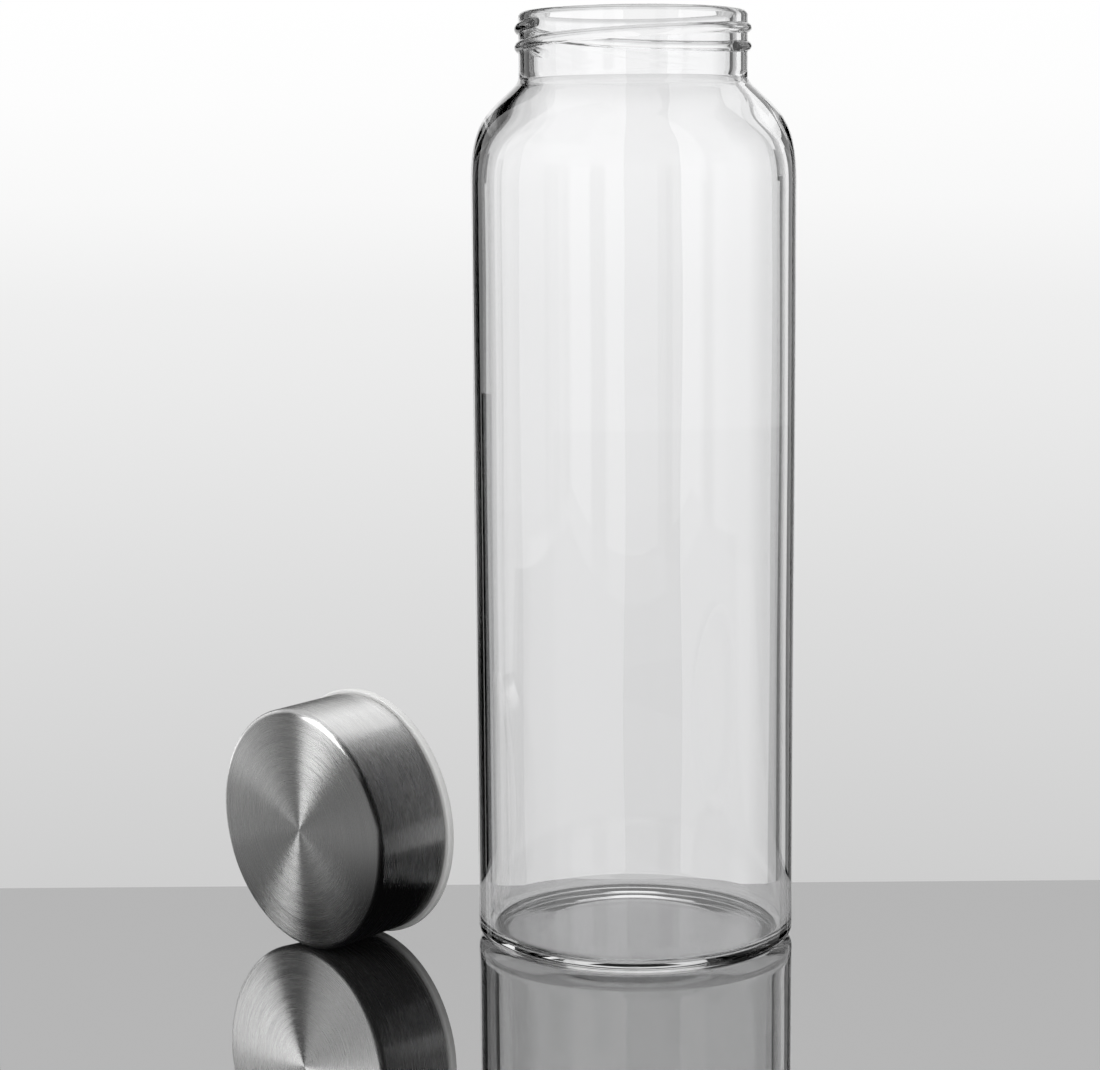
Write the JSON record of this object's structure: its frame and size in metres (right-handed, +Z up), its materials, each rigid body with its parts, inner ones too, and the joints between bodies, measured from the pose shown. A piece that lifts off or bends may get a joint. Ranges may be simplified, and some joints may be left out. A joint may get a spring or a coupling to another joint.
{
  "type": "glass water bottle",
  "caption": "Clear glass water bottle with a wide threaded neck, standing open, and its brushed steel screw cap lying beside it on its side.",
  "frame": {"origin": "middle of the bottle's flat base, on the bottle's axis, on the surface that the bottle and the cap rest on", "axes": "+Z up along the bottle's axis; the cap lies towards -X with its face turned to -X and -Y; -Y is the side that the picture shows"},
  "size_m": [0.1524, 0.084, 0.2424],
  "materials": {
    "clear_glass": "clear colourless glass, fire-polished",
    "brushed_steel": "stainless steel, spun-brushed face and brushed side",
    "white_plastic": "white moulded polypropylene, satin",
    "silicone": "translucent soft silicone, matt"
  },
  "bodies": {
    "bottle": {"glass_bottle": "clear_glass"},
    "seal": {"seal_ring": "silicone"},
    "cap": {"cap_shell": "brushed_steel", "cap_insert": "white_plastic"}
  },
  "joints": [
    {"name": "cap_carry", "type": "hinge", "parent": "bottle", "child": "seal", "pos_m": [0.08268, 0.07595, 0.13746], "axis": [-0.8352, 0.5018, 0.2251], "range_deg": [0, 95.86]},
    {"name": "cap_turn", "type": "hinge", "parent": "seal", "child": "cap", "pos_m": [-0.0884, -0.0147, 0.03199], "axis": [0.7064, 0.7064, 0.0462], "continuous": true}
  ]
}
